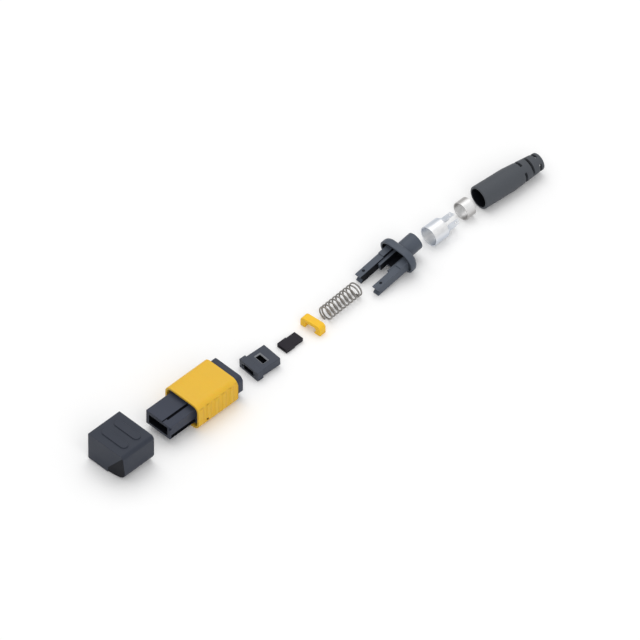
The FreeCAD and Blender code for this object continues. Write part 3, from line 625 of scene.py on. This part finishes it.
class KIT_OT_dust_cap(bpy.types.Operator):
    """Finish the dust cap: fine grain, rounded edges and painted shade on the slope of its corner"""

    bl_idname = "kit.dust_cap"
    bl_label = "Dust cap"

    def execute(self, context):
        sizes, colours = settings()
        finish = moulded("cap_slate", colours.cap, 0.38, 0.5, grain=4200.0)
        piece = refined("dust_cap", KIT, "cap_plastic", finish, sizes.moulded_edge)
        # Painted shade: the sloping face on the cap's corner takes a far darker colour than the cap itself
        painted_deep_shade = moulded("cap_facet", colours.painted_deep_shade, 0.4, 0.5, grain=4200.0, depth=0.1, level=0.08)
        paint_slope(piece, painted_deep_shade)
        return {"FINISHED"}


class KIT_OT_housing(bpy.types.Operator):
    """Finish the inner housing with its keyed nose, with painted shade in its grooves and cavity"""

    bl_idname = "kit.housing"
    bl_label = "Inner housing"

    def execute(self, context):
        sizes, colours = settings()
        finish = moulded("housing_slate", colours.slate, 0.33, 0.46, grain=4800.0)
        low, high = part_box("inner_housing")
        middle = (low + high) / 2
        # The nose: its top beside the key, where the key's foot stands on it, and the groove on its side
        nose_top = middle.z + 2.2 * MM
        key_foot = middle.x + 1.45 * MM
        nose_end = low.y + 10 * MM
        side_groove_from = middle.x + 3.85 * MM
        side_groove_top = middle.z - 0.85 * MM
        start = Vector((key_foot, low.y + 1.6 * MM, nose_top - sizes.key_groove_depth))
        end = Vector((key_foot + sizes.key_groove, low.y + 9.0 * MM, nose_top + 0.2 * MM))
        piece = refined(
            "inner_housing",
            KIT,
            "housing_plastic",
            finish,
            sizes.moulded_edge,
            shaping=lambda piece: cut(piece, block(start, end)),
        )

        slack = 0.06 * MM

        def shaded(face):
            x, y, z = face.center
            in_side_groove = x > side_groove_from and y < nose_end and z < side_groove_top
            at_key_foot = start.x - slack < x < end.x + slack
            in_key_groove = at_key_foot and nose_top - 0.4 * MM < z < nose_top + 0.29 * MM
            return in_side_groove or in_key_groove or looks_at_axis(face, middle, ROW)

        # Painted shade: the side groove, the key groove and the faces inside the cavity take the near-black
        # recess colour
        paint(piece, unlit("housing_recess", colours.recess_shade, 4800.0), shaded)
        return {"FINISHED"}


class KIT_OT_sleeve(bpy.types.Operator):
    """Finish the coupling sleeve in slightly translucent yellow"""

    bl_idname = "kit.sleeve"
    bl_label = "Coupling sleeve"

    def execute(self, context):
        sizes, colours = settings()
        finish = moulded("sleeve_yellow", colours.yellow, 0.36, 0.48, tone=0.06, soft=0.15)
        piece = refined("coupling_sleeve", "sleeve", "sleeve_plastic", finish, sizes.moulded_edge)
        low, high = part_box("coupling_sleeve")
        dimple = Vector((high.x, high.y - 10.8 * MM, (low.z + high.z) / 2 - 2.0 * MM))
        dimple_radius = 0.38 * MM

        def in_dimple(face):
            arm = face.center - dimple
            return arm.yz.length < dimple_radius and -0.6 * MM < arm.x < -0.08 * MM

        # Painted shade: the faces of the dimple on the sleeve's side take a dark amber for the shade inside it
        paint(piece, moulded("sleeve_dimple", colours.amber_shade, 0.4, 0.5, tone=0.06), in_dimple)
        return {"FINISHED"}


class KIT_OT_coupling_springs(bpy.types.Operator):
    """Wind the two coupling springs, which in the plug shorten as the sleeve is pulled back; here they keep one
    length
    """

    bl_idname = "kit.coupling_springs"
    bl_label = "Coupling springs"

    def execute(self, context):
        sizes, colours = settings()
        finish = metal("coupling_wire", colours.wire, WIRE_GRAIN, 0.25, 0.4)
        for side in ("left", "right"):
            node = f"coupling_spring_{side}"
            piece = coil(f"{node}_finished", node, sizes.coupling_wire, sizes.coupling_turns, 0.0)
            seat(piece, KIT, "small_spring_steel", finish, node)
            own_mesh(piece)
        return {"FINISHED"}


class KIT_OT_ferrule(bpy.types.Operator):
    """Finish the ferrule in filled resin and its insert in black rubber"""

    bl_idname = "kit.ferrule"
    bl_label = "Ferrule and insert"

    def execute(self, context):
        sizes, colours = settings()
        resin = moulded("ferrule_resin_dark", colours.resin, 0.4, 0.52, grain=9000.0, tone=0.16)
        low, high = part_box("mt_ferrule")
        middle = (low + high) / 2
        # The ferrule leans, so the top of its body rises toward the cable side
        window = middle + Vector((0.22 * MM, 0.37 * MM, 0))
        top = low.z + 2.93 * MM
        rise = 0.041
        rim_reach = 1.9 * MM
        pocket_reach = 1.6 * MM

        def on_rim(place):
            level = place.z - rise * (place.y - window.y)
            return abs(level - top) < 0.06 * MM and (place - window).xy.length < rim_reach

        piece = refined(
            "mt_ferrule",
            KIT,
            "ferrule_resin",
            resin,
            0.5 * sizes.moulded_edge,
            shaping=lambda piece: chamfer(piece, sizes.window_rim, on_rim),
        )

        def on_slope(face):
            near = (face.center - window).xy.length < rim_reach
            return near and 0.3 < face.normal.z < 0.95 and face.center.z > top - 0.45 * MM

        # Painted shade: the inner walls of the window and the faces round the bores are painted near-black
        def in_shade(face):
            near = (face.center - window).xy.length < pocket_reach
            in_window = near and abs(face.normal.z) < 0.1 and face.center.z < top
            return in_window or looks_at_axis(face, middle, ROW)

        paint(piece, unlit("ferrule_pocket", colours.recess_shade, 9000.0), in_shade)
        # Painted highlight: the sloped rim takes a paler grey than the resin
        rim = moulded("ferrule_rim_highlight", colours.rim, 0.35, 0.45, grain=9000.0, level=0.3)
        paint(piece, rim, on_slope)
        rubber = moulded("insert_rubber", colours.insert, 0.5, 0.65, grain=7000.0)
        refined("ferrule_boot", KIT, "soft_boot", rubber, sizes.moulded_edge)
        return {"FINISHED"}


class KIT_OT_pin_clamp(bpy.types.Operator):
    """Finish the pin clamp in bright yellow"""

    bl_idname = "kit.pin_clamp"
    bl_label = "Pin clamp"

    def execute(self, context):
        sizes, colours = settings()
        finish = moulded("clamp_yellow", colours.clamp, 0.36, 0.48, tone=0.06, soft=0.15)
        refined("pin_clamp", KIT, "clamp_plastic", finish, sizes.clamp_edge)
        return {"FINISHED"}


class KIT_OT_ferrule_spring(bpy.types.Operator):
    """Wind the ferrule spring"""

    bl_idname = "kit.ferrule_spring"
    bl_label = "Ferrule spring"

    def execute(self, context):
        sizes, colours = settings()
        finish = metal("spring_wire", colours.wire, WIRE_GRAIN, 0.22, 0.38)
        node = "ferrule_spring"
        wire, turns = sizes.spring_wire, sizes.spring_turns
        piece = coil(f"{node}_finished", node, wire, turns, sizes.spring_turn)
        seat(piece, KIT, "spring_steel", finish, node)
        return {"FINISHED"}


class KIT_OT_crimp_body(bpy.types.Operator):
    """Finish the crimp body with its two arms, with painted shade in its hollow, dimples, inner sides and
    trough
    """

    bl_idname = "kit.crimp_body"
    bl_label = "Crimp body"

    def execute(self, context):
        sizes, colours = settings()
        finish = moulded("body_slate", colours.body, 0.35, 0.48, grain=4800.0)
        low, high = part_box("crimp_body")
        # The body lies on its flange and its arms' tips, so it leans. In its own directions x is across,
        # y up and z along its axis, from the end of the neck to the tips of the arms.
        lean = math.atan2(1.8, 11.0)
        along = Vector((0, math.cos(lean), math.sin(lean)))
        upward = Vector((0, -math.sin(lean), math.cos(lean)))
        neck_end = Vector(((low.x + high.x) / 2, high.y - 0.37 * MM, 4.814 * MM))
        from_own = Matrix((Vector((1, 0, 0)), upward, -along)).transposed().to_4x4()
        from_own.translation = neck_end
        to_own = from_own.inverted()
        face_at = 7.2 * MM
        half_width, half_height, corner = 5.7 * MM, 3.7 * MM, 3.5 * MM
        points = [point.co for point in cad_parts["crimp_body"].data.vertices]
        arm_side = max(abs(point.x - neck_end.x) for point in points if point.y < low.y + 3 * MM)
        arm_top = 1.1 * MM

        def hollow(piece):
            rim = sizes.flange_rim
            x, y = half_width - rim, half_height - rim
            floor_at = face_at - sizes.flange_hollow
            cutter = block(
                Vector((-x, -y, floor_at)), Vector((x, y, face_at + 0.1 * MM)), corner=corner - rim
            )
            # The arms and the trough between them stay as they are
            arms_from = Vector((-arm_side, -5 * MM, floor_at - MM))
            cut(cutter, block(arms_from, Vector((arm_side, arm_top, face_at + MM))))
            cutter.data.transform(from_own)
            cut(piece, cutter)

        piece = refined("crimp_body", KIT, "body_plastic", finish, sizes.moulded_edge, shaping=hollow)
        free_arms = face_at + 4 * MM
        dimple_at, dimple_in, dimple_radius = 16.0 * MM, arm_side - 0.95 * MM, 0.43 * MM

        def floor(face):
            depth = (to_own @ face.center).z
            return face.normal.dot(along) < -0.9 and 5 * MM < depth < face_at - 0.1 * MM

        def dimple(face):
            spot = to_own @ face.center
            away = math.hypot(abs(spot.x) - dimple_in, spot.z - dimple_at)
            return away < dimple_radius and 0.3 * MM < spot.y < 0.66 * MM

        def inner_arm(face):
            return looks_at_axis(face, neck_end, along) and (to_own @ face.center).z > free_arms

        def trough(face):
            return looks_at_axis(face, neck_end, along) and (to_own @ face.center).z <= free_arms

        # Painted shade: the floor of the flange hollow, the arms' dimples, the arms' inner sides and the trough
        # between them take darker colours for the shade that falls in them
        paint(piece, unlit("body_shaded", colours.painted_deep_shade, 4800.0), floor)
        paint(piece, unlit("body_dimple_shade", colours.shaded, 4800.0), dimple)
        paint(piece, unlit("body_arm_side_shade", colours.shaded, 4800.0), inner_arm)
        paint(piece, unlit("body_recess", colours.recess_shade, 4800.0), trough)
        return {"FINISHED"}


class KIT_OT_crimp_metal(bpy.types.Operator):
    """Finish the crimp tube and the crimp ring in bright plated sheet"""

    bl_idname = "kit.crimp_metal"
    bl_label = "Crimp tube and ring"

    def execute(self, context):
        sizes, colours = settings()

        # The sheet's second colour is a painted reflection where it turns away from the eye
        def plated(name, side):
            return metal(name, colours.sheet, SHEET_LINES, 0.28, 0.4, share=0.4, painted_reflection=side)

        # Made whole, the end between the tongues would be filled in across the bore
        finish = plated("plated_tube", colours.tube_side_reflection)
        refined("crimp_tube", KIT, "tube_metal", finish, sizes.sheet_edge, whole=False)
        finish = plated("plated_ring", colours.ring_side_reflection)
        refined("crimp_ring", KIT, "ring_metal", finish, sizes.sheet_edge)
        return {"FINISHED"}


class KIT_OT_relief_boot(bpy.types.Operator):
    """Finish the slotted strain relief boot in matt rubber"""

    bl_idname = "kit.relief_boot"
    bl_label = "Strain relief boot"

    def execute(self, context):
        sizes, colours = settings()
        finish = moulded("relief_slate", colours.rubber, 0.45, 0.6, grain=4000.0, depth=0.7)
        piece = refined("strain_relief_boot", KIT, "relief_rubber", finish, sizes.soft_edge)
        low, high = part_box("strain_relief_boot")
        radius = (high.z - low.z) / 2
        point = Vector((low.x + radius, low.y, low.z + radius))
        along = Vector((-math.sin(sizes.relief_turn), math.cos(sizes.relief_turn), 0))
        # Painted shade: the faces inside the bore take the near-black recess colour
        inside = moulded("relief_bore_shade", colours.recess_shade, 0.6, 0.7, grain=4000.0, level=0.08)
        paint(piece, inside, lambda face: looks_at_axis(face, point, along))
        return {"FINISHED"}


class KIT_OT_stage(bpy.types.Operator):
    """Set the white table, the soft light and the camera"""

    bl_idname = "kit.stage"
    bl_label = "Table, light and camera"

    def execute(self, context):
        stage = context.scene.kit_stage
        bpy.ops.object.select_all(action="DESELECT")
        bpy.ops.mesh.primitive_plane_add(size=stage.table_size, location=(0, 0, 0))
        table = context.active_object
        table.name = "table_top"
        material, tree, shader, _place = new_finish("white_table")
        shader.inputs["Roughness"].default_value = 0.9
        shader.inputs["Specular IOR Level"].default_value = 0.0
        rays = tree.nodes.new("ShaderNodeLightPath")
        seen = math_node(tree, "MAXIMUM", rays.outputs["Is Camera Ray"], rays.outputs["Is Glossy Ray"])
        seen = math_node(tree, "MAXIMUM", seen, rays.outputs["Is Transmission Ray"])
        # The eye and the mirroring metal see the table white, and it lights the pieces with less than that
        paper = add(tree, "ShaderNodeMix", data_type="RGBA")
        paper.inputs[MIX_FIRST].default_value = (stage.bounce, stage.bounce, stage.bounce, 1)
        paper.inputs[MIX_SECOND].default_value = (1.0, 1.0, 1.0, 1)
        tree.links.new(seen, paper.inputs["Factor"])
        tree.links.new(paper.outputs[MIX_RESULT], shader.inputs["Base Color"])
        table.data.materials.append(material)
        self.light(context, stage)
        self.camera(context, stage)
        return {"FINISHED"}

    def light(self, context, stage):
        world = bpy.data.worlds.new("even_room")
        world.use_nodes = True
        background = world.node_tree.nodes["Background"]
        background.inputs["Color"].default_value = (1, 1, 1, 1)
        background.inputs["Strength"].default_value = stage.room_light
        context.scene.world = world
        for name, place, power in (
            ("key", (-0.45, 0.3, 1.2), stage.key_light),
            ("fill", (0.9, -0.5, 0.8), stage.fill_light),
        ):
            bpy.ops.object.light_add(type="AREA", location=place)
            lamp = context.active_object
            lamp.name = f"{name}_lamp"
            lamp.data.size = stage.lamp_size
            lamp.data.energy = power
            lamp.rotation_euler = (-Vector(place)).to_track_quat("-Z", "Y").to_euler()

    def camera(self, context, stage):
        turn, rise = stage.azimuth, stage.elevation
        flat = math.cos(rise)
        back = Vector((math.sin(turn) * flat, -math.cos(turn) * flat, math.sin(rise)))
        right = Vector((math.cos(turn), math.sin(turn), 0))
        up = back.cross(right)
        bpy.ops.object.camera_add()
        camera = context.active_object
        camera.name = "photo_camera"
        camera.data.lens = stage.lens
        away = stage.frame_width * stage.lens / camera.data.sensor_width
        camera.location = right * stage.aim_right + up * stage.aim_up + back * away
        camera.rotation_euler = (-back).to_track_quat("-Z", "Y").to_euler()
        camera.data.clip_start = 0.1
        camera.data.clip_end = 30.0
        context.scene.camera = camera
        context.scene.view_settings.view_transform = "Standard"


class KIT_PT_panel(bpy.types.Panel):
    bl_idname = "KIT_PT_panel"
    bl_label = "Connector kit"
    bl_space_type = "VIEW_3D"
    bl_region_type = "UI"
    bl_category = "Connector kit"

    def draw(self, context):
        column = self.layout.column()
        for group in (context.scene.kit_sizes, context.scene.kit_colours, context.scene.kit_stage):
            for name in group.__annotations__:
                column.prop(group, name)
        for piece in PIECES:
            column.operator(piece.bl_idname)


PIECES = (
    KIT_OT_dust_cap,
    KIT_OT_housing,
    KIT_OT_sleeve,
    KIT_OT_coupling_springs,
    KIT_OT_ferrule,
    KIT_OT_pin_clamp,
    KIT_OT_ferrule_spring,
    KIT_OT_crimp_body,
    KIT_OT_crimp_metal,
    KIT_OT_relief_boot,
    KIT_OT_stage,
)
CLASSES = (KitSizes, KitColours, KitStage, *PIECES, KIT_PT_panel)


def register():
    for one in CLASSES:
        bpy.utils.register_class(one)
    bpy.types.Scene.kit_sizes = bpy.props.PointerProperty(type=KitSizes)
    bpy.types.Scene.kit_colours = bpy.props.PointerProperty(type=KitColours)
    bpy.types.Scene.kit_stage = bpy.props.PointerProperty(type=KitStage)


def unregister():
    del bpy.types.Scene.kit_stage
    del bpy.types.Scene.kit_colours
    del bpy.types.Scene.kit_sizes
    for one in reversed(CLASSES):
        bpy.utils.unregister_class(one)


def main():
    register()
    for piece in PIECES:
        group, name = piece.bl_idname.split(".")
        getattr(getattr(bpy.ops, group), name)()


if __name__ == "__main__":
    main()
